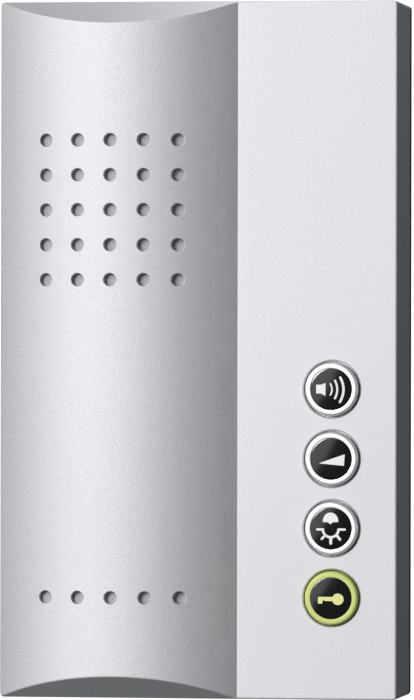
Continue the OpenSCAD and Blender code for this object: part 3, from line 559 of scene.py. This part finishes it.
key_spots = [(KEY_X, y, PANEL) for y in KEY_ROWS]
hole_places = put_in_scene("hole_places", mesh_of("hole_places", hole_spots, []))
key_places = put_in_scene("key_places", mesh_of("key_places", key_spots, []))


def silver_paint():
    """Silver lacquer with metal flake over a 0.4 mm stipple, and a painted shadow 5 to 7 mm deep along the
    wall.
    """
    material, start, feed = new_finish("silver_paint", specular_ior_level=0.4)
    stipple, flake, cloud = noise(start, 2500, 1.5), noise(start, 5200, 0), noise(start, 14)
    share = stipple * 0.45 + flake * 0.4 + cloud * 0.15
    lacquer = blend(start, share, (0.61, 0.615, 0.635), (0.83, 0.835, 0.855))
    # Painted shadow: towards the wall the colour turns near-black and loses its metal, a dark seam where the
    # cover meets the wall.
    from_wall = start.node("ShaderNodeSeparateXYZ", None, {"Vector": own_place(start)}, out="Y")
    painted_shade_fade, painted_shade_at_wall = 650, 4.5
    edge = start.maths("MINIMUM", start.maths("MAXIMUM", from_wall * painted_shade_fade + painted_shade_at_wall, 0), 1)
    feed("Base Color", blend(start, edge, lacquer, (0.02, 0.02, 0.022)))
    feed("Metallic", 0.9 - edge * 0.9)
    feed("Roughness", 0.63 + stipple * 0.16)
    roughen(start, feed, stipple, 0.000055)
    return material


silver, bare_plastic = silver_paint(), moulded("bare_plastic", (0.045, 0.048, 0.05), 0.5)
values = {
    "Hole tile": ("Object", hole_tile),
    "Hole places": ("Object", hole_places),
    "Key tile": ("Object", key_tile),
    "Key places": ("Object", key_places),
    "Field centre": ("Float", FIELD_X / 1000),
    "Field radius": ("Float", FIELD_R / 1000),
    "Field axis": ("Float", FIELD_AXIS / 1000),
    "Wall": ("Float", WALL / 1000),
    "Finish": ("Material", silver),
    "Bare finish": ("Material", bare_plastic),
}
tree = bpy.data.node_groups.new("perforation", "GeometryNodeTree")
tree.interface.new_socket(name="Skin", in_out="INPUT", socket_type="NodeSocketGeometry")
inputs = {
    name: tree.interface.new_socket(name=name, in_out="INPUT", socket_type="NodeSocket" + kind)
    for name, (kind, _) in values.items()
}
tree.interface.new_socket(name="Cover", in_out="OUTPUT", socket_type="NodeSocketGeometry")
start = Shade(tree)
entry = start.node("NodeGroupInput").socket.node
given = {socket.name: Shade(tree, socket) for socket in entry.outputs if socket.name}


def object_shape(name):
    """Mesh of the object that an input names."""
    settings = {"transform_space": "ORIGINAL"}
    return start.node("GeometryNodeObjectInfo", settings, {"Object": given[name]}, out="Geometry")


def repeated(tile_name, places_name):
    """One tile at each place, made real."""
    on = {"Points": object_shape(places_name), "Instance": object_shape(tile_name)}
    set_out = start.node("GeometryNodeInstanceOnPoints", None, on)
    return start.node("GeometryNodeRealizeInstances", None, {"Geometry": set_out})


place = start.node("GeometryNodeInputPosition")
x, y, z = (start.node("ShaderNodeSeparateXYZ", None, {"Vector": place}, out=axis) for axis in "XYZ")
inside = start.maths("GREATER_THAN", y, given["Wall"] * 0.5)
radius = given["Field radius"] - inside * given["Wall"]
across = x - given["Field centre"]
height = start.maths("SQRT", radius * radius - across * across) + given["Field axis"]
laid = start.node("ShaderNodeCombineXYZ", None, {"X": x, "Y": y - inside * given["Wall"] - height, "Z": z})
holes = {"Geometry": repeated("Hole tile", "Hole places"), "Position": laid}
curved = start.node("GeometryNodeSetPosition", None, holes)
cut = [given["Skin"], curved, repeated("Key tile", "Key places")]
joined = start.node("GeometryNodeJoinGeometry", None, {"Geometry": cut})
sealed = start.node("GeometryNodeMergeByDistance", None, {"Geometry": joined, "Distance": SEAL / 1000})
painted = start.node("GeometryNodeSetMaterial", None, {"Geometry": sealed, "Material": given["Finish"]})
unpainted = start.node("GeometryNodeInputNamedAttribute", {"data_type": "BOOLEAN"}, {"Name": "bare"})
rest = {"Geometry": painted, "Selection": unpainted, "Material": given["Bare finish"]}
start.node("NodeGroupOutput", None, {"Cover": start.node("GeometryNodeSetMaterial", None, rest)})
blank = put_in_scene("front_cover_blank", skin_mesh)
modifier = blank.modifiers.new("perforation", "NODES")
modifier.node_group = tree
for name, (_, value) in values.items():
    modifier[inputs[name].identifier] = value
depsgraph = bpy.context.evaluated_depsgraph_get()
cover_mesh = bpy.data.meshes.new_from_object(blank.evaluated_get(depsgraph))
blank.modifiers.remove(modifier)
for helper in (blank, hole_tile, hole_places, key_tile, key_places):
    bpy.data.objects.remove(helper)
add_piece("front_cover_shell", cover_mesh, None, "station", "silver_shell", "front_cover")


# Works inside the cover, moulded in one with it: the square sound chamber, the speaker's four bosses,
# the microphone's two posts, and the slotted guides behind the panel that keep the buttons straight.
CHAMBER, CHAMBER_IN, CHAMBER_Z, CHAMBER_SIDES = 25.05, 23.05, 35.0, 64
BOSS_AT, BOSS_R, BOSS_BORE, BOSS_Z = 26.2, 3.2, 1.3, 33.8
POST_AT, POST_R, POST_BORE, POST_Z = 12, 3.0, 1.15, 37.52
GUIDE_R, GUIDE_IN, GUIDE_SLOT, GUIDE_Z = 10.6, 9.35, 1.55, PANEL - WALL - 6
ROOT = 0.8


def wall_along(outside, inside, low, closed=True):
    """Points and faces of a wall between two outlines, from low up to ROOT inside the skin."""
    points = []
    for (xa, ya), (xb, yb) in zip(outside, inside):
        high_a, high_b = (skin_height(x, WALL, INNER_EDGE) + ROOT for x in (xa, xb))
        points += [(xa, ya, low), (xb, yb, low), (xb, yb, high_b), (xa, ya, high_a)]
    return points, bar_faces(len(outside), closed)


def square_way(half):
    """Square outline round the grille's middle."""
    return [(GRILLE_X + x, GRILLE_Y + y) for x, y, _ in cell_edge(half, 0, CHAMBER_SIDES)]


def round_way(x, y, radius, turns):
    """Round outline, or a part of one."""
    return [(x + radius * math.cos(t), y + radius * math.sin(t)) for t in turns]


full_turn = np.arange(32) * math.pi / 16
works = [wall_along(square_way(CHAMBER), square_way(CHAMBER_IN), CHAMBER_Z)]
posts = [
    (GRILLE_X + a * BOSS_AT, GRILLE_Y + b * BOSS_AT, BOSS_R, BOSS_BORE, BOSS_Z)
    for a in (-1, 1) for b in (-1, 1)
]
posts += [(MIC_X, MIC_Y + b * POST_AT, POST_R, POST_BORE, POST_Z) for b in (-1, 1)]
for x, y, radius, bore, low in posts:
    works.append(wall_along(round_way(x, y, radius, full_turn), round_way(x, y, bore, full_turn), low))
half_slot = math.asin(GUIDE_SLOT / GUIDE_IN)
guide_turn = np.linspace(half_slot - math.pi, math.pi - half_slot, 49)
for y in KEY_ROWS:
    outside, inside = (round_way(KEY_X, y, radius, guide_turn) for radius in (GUIDE_R, GUIDE_IN))
    works.append(wall_along(outside, inside, GUIDE_Z, closed=False))
points, faces = [], []
for some_points, some_faces in works:
    faces += [tuple(v + len(points) for v in f) for f in some_faces]
    points += some_points
works_mesh = mesh_of("front_cover_works", points, faces)
add_piece("front_cover_works", works_mesh, bare_plastic, "station", "silver_shell", "front_cover")


# Push buttons: moulded caps with a rounded rim, bright silver on three of them and yellow-green on the
# door key. Each has a flange with a lug behind the panel and a stem onto its switch.
BUTTONS = dict(zip(("talk", "volume", "light", "door"), KEY_ROWS))
CAP_R, PROUD, SHOULDER, DRAFT, LAND_R = 7.75, 1.8, 0.6, 0.2, 6.6
RECESS_R, RECESS_Z, RECESS_EDGE, FLOOR_THICK = 6.0, 0.35, 0.1, 1.4
STEM_R, STEM_Z, BORE_R, FLANGE_R, FLANGE_LOW, FLANGE_TOP = 2.2, -12.4, 6.35, 9.0, -3.75, -2.55
LUG_OUT, LUG_IN, LUG_HALF = -9.9, -8.5, 1.2


def turned(profile, y, number=96):
    """Closed solid of revolution about a button's axis: profile of (radius, height) from axis to axis."""
    turns = np.arange(number) * 2 * math.pi / number
    points = [(KEY_X, y, PANEL + profile[0][1])]
    for radius, z in profile[1:-1]:
        points += [(px, py, PANEL + z) for px, py in round_way(KEY_X, y, radius, turns)]
    points.append((KEY_X, y, PANEL + profile[-1][1]))
    end = len(points) - 1
    faces = []
    for k in range(number):
        n = (k + 1) % number
        faces.append((0, 1 + n, 1 + k))
        for r in range(len(profile) - 3):
            a, b = 1 + r * number, 1 + (r + 1) * number
            faces.append((a + k, a + n, b + n, b + k))
        faces.append((end - number + k, end - number + n, end))
    return points, faces


def rounded(radius, z, edge, first, last, number):
    """Part of a round edge about (radius, z), in degrees."""
    turns = np.linspace(math.radians(first), math.radians(last), number + 1)
    return round_way(radius, z, edge, turns)


def bright_rim():
    """Satin metallised plastic."""
    material, start, feed = new_finish("bright_rim", metallic=0.6, specular_ior_level=0.6)
    cloud = noise(start, 220)
    feed("Base Color", blend(start, cloud, (0.84, 0.845, 0.85), (0.95, 0.955, 0.96)))
    feed("Roughness", 0.27 + cloud * 0.03)
    return material


def green_rim():
    """Yellow-green plastic that a little light shines through."""
    material, start, feed = new_finish("door_green", subsurface_weight=0.15, subsurface_scale=0.002)
    cloud = noise(start, 180)
    feed("Base Color", blend(start, cloud, (0.60, 0.65, 0.17), (0.72, 0.76, 0.24)))
    feed("Roughness", 0.36 + noise(start, 2200, 1) * 0.12)
    roughen(start, feed, noise(start, 1500, 1), 0.000004)
    return material


cap_profile = [(0, STEM_Z), (STEM_R, STEM_Z), (STEM_R, RECESS_Z - FLOOR_THICK)]
cap_profile += [(BORE_R, RECESS_Z - FLOOR_THICK), (BORE_R, FLANGE_LOW), (FLANGE_R, FLANGE_LOW)]
cap_profile += [(FLANGE_R, FLANGE_TOP), (CAP_R, FLANGE_TOP), (CAP_R, 0)]
cap_profile += rounded(CAP_R - DRAFT - SHOULDER, PROUD - SHOULDER, SHOULDER, 12, 90, 10) + [(LAND_R, PROUD)]
cap_profile += rounded(RECESS_R + RECESS_EDGE, PROUD - RECESS_EDGE, RECESS_EDGE, 90, 180, 5)
cap_profile += [(RECESS_R, RECESS_Z), (0, RECESS_Z)]
LUG_FACES = ((0, 1, 3, 2), (4, 6, 7, 5), (0, 4, 5, 1), (2, 3, 7, 6), (0, 2, 6, 4), (1, 5, 7, 3))
rim_silver, rim_green = bright_rim(), green_rim()
for name, y in BUTTONS.items():
    rim, rim_slot = (rim_green, "door_rim") if name == "door" else (rim_silver, "button_rim")
    points, faces = turned(cap_profile, y)
    faces += [tuple(v + len(points) for v in f) for f in LUG_FACES]
    points += [
        (KEY_X + a, y + b, PANEL + c)
        for a in (LUG_OUT, LUG_IN) for b in (-LUG_HALF, LUG_HALF) for c in (FLANGE_LOW, FLANGE_TOP)
    ]
    cap = mesh_of(name + "_cap", points, faces)
    add_piece(name + "_cap", cap, rim, name + "_key", rim_slot, name + "_button")


# Inlays: discs of polished black acrylic with a slightly domed face.
# Each is pressed into the recess of its button.
DOME_R, INLAY_R, INLAY_Z, INLAY_EDGE = 140.0, 5.95, PROUD - 0.25, 0.05


def dome(radius):
    """Height of the inlay's face over the panel."""
    return INLAY_Z - DOME_R + math.sqrt(DOME_R**2 - radius**2)


def black_gloss():
    """Polished black acrylic with a few hairlines."""
    material, start, feed = new_finish("black_gloss", specular_ior_level=1.0)
    hair = noise(start, 900, 4, (1, 1, 0.06))
    feed("Base Color", blend(start, noise(start, 400), (0.003, 0.003, 0.0034), (0.007, 0.007, 0.0078)))
    feed("Roughness", 0.06 + hair * 0.05)
    return material


edge_z = dome(INLAY_R) - INLAY_EDGE
inlay_profile = [(0, RECESS_Z), (INLAY_R, RECESS_Z), (INLAY_R, edge_z)]
inlay_profile += rounded(INLAY_R - INLAY_EDGE, edge_z, INLAY_EDGE, 22, 88, 4)
inlay_profile += [(r, dome(r)) for r in (5.6, 5, 4, 3, 2, 1, 0)]
inlay_black = black_gloss()
for name, y in BUTTONS.items():
    disc = mesh_of(name + "_disc", *turned(inlay_profile, y))
    add_piece(name + "_disc", disc, inlay_black, name + "_key", "black_gloss", name + "_inlay", sharp=50)


# Symbols printed on the inlays: a loudspeaker with sound waves, a rising volume wedge, a lamp with its
# rays, and a key. Each is drawn in millimetres from the middle of its button.
FILM, FILM_LIFT, FILM_STAGGER, FILM_EDGE = 0.05, 0.02, 0.003, 0.9


def stroke(way, width):
    """Outline of a line of that width with round ends."""
    way = [np.array(p, float) for p in way]
    ahead = [way[min(k + 1, len(way) - 1)] - way[max(k - 1, 0)] for k in range(len(way))]
    normals = [np.array((-d[1], d[0])) / np.linalg.norm(d) * width / 2 for d in ahead]

    def round_end(middle, first):
        turns = [math.atan2(first[1], first[0]) + math.pi * k / 8 for k in range(1, 8)]
        return round_way(*middle, width / 2, turns)

    there = [tuple(p - n) for p, n in zip(way, normals)]
    back = [tuple(p + n) for p, n in zip(way[::-1], normals[::-1])]
    return there + round_end(way[-1], -normals[-1]) + back + round_end(way[0], normals[0])


def bow(start, middle, end, number=14):
    """Points of a curve through three places."""
    a, b, c = (np.array(p, float) for p in (start, middle, end))
    control = 2 * b - (a + c) / 2
    return [(1 - t) ** 2 * a + 2 * t * (1 - t) * control + t * t * c for t in np.linspace(0, 1, number)]


def half_ring(x, y, r_in, r_out):
    """Lower half of a ring."""
    turns = np.linspace(math.pi, 2 * math.pi, 25)
    return round_way(x, y, r_out, turns) + round_way(x, y, r_in, turns[::-1])


def printed(name, colour):
    """Printed symbol, slightly uneven."""
    material, start, feed = new_finish(name)
    grain = noise(start, 2400, 1)
    feed("Base Color", blend(start, grain, tone(colour, 0.93), tone(colour, 1.05)))
    feed("Roughness", 0.45 + grain * 0.15)
    return material


def print_symbol(name, shapes, y, material):
    """Thin print on the dome, each shape a closed film."""
    work = bmesh.new()
    for number, outline in enumerate(shapes):
        area = sum(a[0] * b[1] - b[0] * a[1] for a, b in zip(outline, outline[1:] + outline[:1]))
        outline = outline if area > 0 else outline[::-1]
        film = bmesh.new()
        film.faces.new([film.verts.new((px, py, 0)) for px, py in outline])
        film.normal_update()
        bmesh.ops.triangulate(film, faces=film.faces[:])
        for _ in range(2):
            long = [e for e in film.edges if e.calc_length() > FILM_EDGE]
            bmesh.ops.subdivide_edges(film, edges=long, cuts=1)
        bmesh.ops.triangulate(film, faces=[f for f in film.faces if len(f.verts) > 4])
        lower = bmesh.ops.duplicate(film, geom=film.faces[:])
        under = [v for v in lower["geom"] if isinstance(v, bmesh.types.BMVert)]
        bmesh.ops.reverse_faces(film, faces=[f for f in lower["geom"] if isinstance(f, bmesh.types.BMFace)])
        for v in film.verts:
            v.co.z = dome(math.hypot(v.co.x, v.co.y)) + FILM_LIFT + FILM_STAGGER * (number % 3)
        for v in under:
            v.co.z -= FILM
        bmesh.ops.bridge_loops(film, edges=[e for e in film.edges if e.is_boundary])
        bmesh.ops.recalc_face_normals(film, faces=film.faces[:])
        made = bpy.data.meshes.new("film")
        film.to_mesh(made)
        work.from_mesh(made)
        bpy.data.meshes.remove(made)
        film.free()
    work.verts.index_update()
    points = [(KEY_X + v.co.x, y + v.co.y, PANEL + v.co.z) for v in work.verts]
    faces = [tuple(v.index for v in f.verts) for f in work.faces]
    work.free()
    mesh = mesh_of(name + "_symbol", points, faces)
    add_piece(name + "_symbol", mesh, material, name + "_key", "button_rim")


lamp_shade = [(-0.16 + 2.24 * math.cos(t), 2.05 + 2.55 * math.sin(t)) for t in np.linspace(0, math.pi, 21)]
lamp_shade += [(-2.35, 1.86), (-0.85, 1.84), (-0.5, 1.42), (-0.2, 1.28)]
lamp_shade += [(0.1, 1.42), (0.45, 1.84), (2.0, 1.86)]
key_bow = round_way(1.98, -0.27, 1.65, full_turn)
key_shaft = [(0.7, 0.4), (-3.6, 0.4), (-3.77, 0.25), (-3.77, -1.35), (-3.6, -1.55), (-2.75, -1.55)]
key_shaft += [(-2.5, -1.35), (-2.4, -0.7), (-2.1, -0.55), (-1.85, -0.7), (-1.6, -0.8), (0.7, -0.8)]
SYMBOLS = {
    "talk": [
        [(-4.38, -1.2), (-2.95, -1.2), (-1.69, -1.92), (-1.69, 1.8), (-2.95, 1.3), (-4.38, 1.3)],
        stroke(bow((-0.25, 1.55), (0.17, -0.1), (-0.28, -1.6)), 0.48),
        stroke(bow((1.05, 2.5), (1.7, -0.1), (1.03, -2.6)), 0.58),
        stroke(bow((2.55, 3.35), (3.5, -0.1), (2.48, -3.6)), 0.7),
    ],
    "volume": [[(-3.4, -1.3), (3.66, -1.95), (3.89, 1.34), (-3.4, -1.18)]],
    "light": [
        lamp_shade,
        half_ring(-0.12, -0.22, 1.9, 2.6),
        stroke([(-4.0, -0.24), (-2.3, -0.24)], 0.66),
        stroke([(2.1, -0.24), (3.95, -0.24)], 0.66),
        stroke([(-1.8, -2.0), (-2.7, -2.95)], 0.68),
        stroke([(-0.1, -2.5), (-0.1, -4.2)], 0.82),
        stroke([(1.62, -1.9), (2.55, -3.05)], 0.76),
    ],
    "door": [key_bow, key_shaft],
}
print_grey = printed("print_grey", (0.9, 0.905, 0.91))
print_green = printed("print_green", (0.82, 0.85, 0.31))
for name, y in BUTTONS.items():
    print_symbol(name, SYMBOLS[name], y, print_green if name == "door" else print_grey)


# The room: a pale floor far below the station and a white card behind it in the view's line. A key light
# and a wide dim one stand at the left, a small one over the top end, one behind and one at the right.
CORNERS = ((-1, -1), (1, -1), (1, 1), (-1, 1))
FLOOR_HALF, FLOOR_Z = 15, -7
CARD_FAR, CARD_HALF_W, CARD_HALF_H = 5, 0.4, 0.6


def stage_plane(name, corners, colour, glow=0):
    """Flat matt plane that isn't part of the station: the start of its nodes, and a feed."""
    mesh = bpy.data.meshes.new(name)
    mesh.from_pydata(corners, [], [(0, 1, 2, 3)])
    material, start, feed = new_finish(name, roughness=0.9, specular_ior_level=0.1, emission_strength=glow)
    feed("Base Color", blend(start, noise(start, 3), tone(colour, 0.97), colour))
    mesh.materials.append(material)
    put_in_scene(name, mesh)
    return start, feed


def soft_light(name, side, up, far, power, size, target=aim):
    """Round soft light, far from the target, that many degrees to the right of its front and up."""
    side, up = math.radians(side), math.radians(up)
    data = bpy.data.lights.new(name, "AREA")
    data.shape, data.size, data.energy = "DISK", size, power
    made = put_in_scene(name, data)
    way = Vector((math.sin(side) * math.cos(up), -math.cos(side) * math.cos(up), math.sin(up)))
    made.location = Vector(target) + far * way
    made.rotation_euler = way.to_track_quat("Z", "Y").to_euler()
    made.visible_camera = False


floor_corners = [(FLOOR_HALF * a, FLOOR_HALF * b, FLOOR_Z) for a, b in CORNERS]
stage_plane("floor", floor_corners, (0.75, 0.75, 0.74))
card = aim - CARD_FAR * (camera.location - aim).normalized()
card_corners = [(card.x + CARD_HALF_W * a, card.y, card.z + CARD_HALF_H * b) for a, b in CORNERS]
card_start, card_feed = stage_plane("white_card", card_corners, (0.9, 0.9, 0.9), glow=1)
seen, mirrored, passed = (
    card_start.node("ShaderNodeLightPath", out=f"Is {ray} Ray")
    for ray in ("Camera", "Glossy", "Transmission")
)
white = card_start.maths("MINIMUM", seen + mirrored + passed, 1)
card_feed("Emission Color", blend(card_start, white, (0, 0, 0), (1, 1, 1)))
soft_light("key_light", -20, 13, 3.0, 69, 1.0)
soft_light("wide_light", -33, 14, 2.0, 10, 2.22)
soft_light("top_light", 135, 72, 0.163, 0.138, 0.1, (0.01, -0.04, 0.095))
soft_light("back_light", -140, 5, 1.6, 9, 0.8)
soft_light("side_light", 90, 0, 0.6, 0.15, 0.03, (0.0575, -0.018, 0))
world = bpy.data.worlds.new("room")
world.use_nodes = True
world.node_tree.nodes["Background"].inputs["Color"].default_value = (0.056, 0.066, 0.069, 1)
bpy.context.scene.world = world
bpy.context.scene.view_settings.view_transform = "Standard"
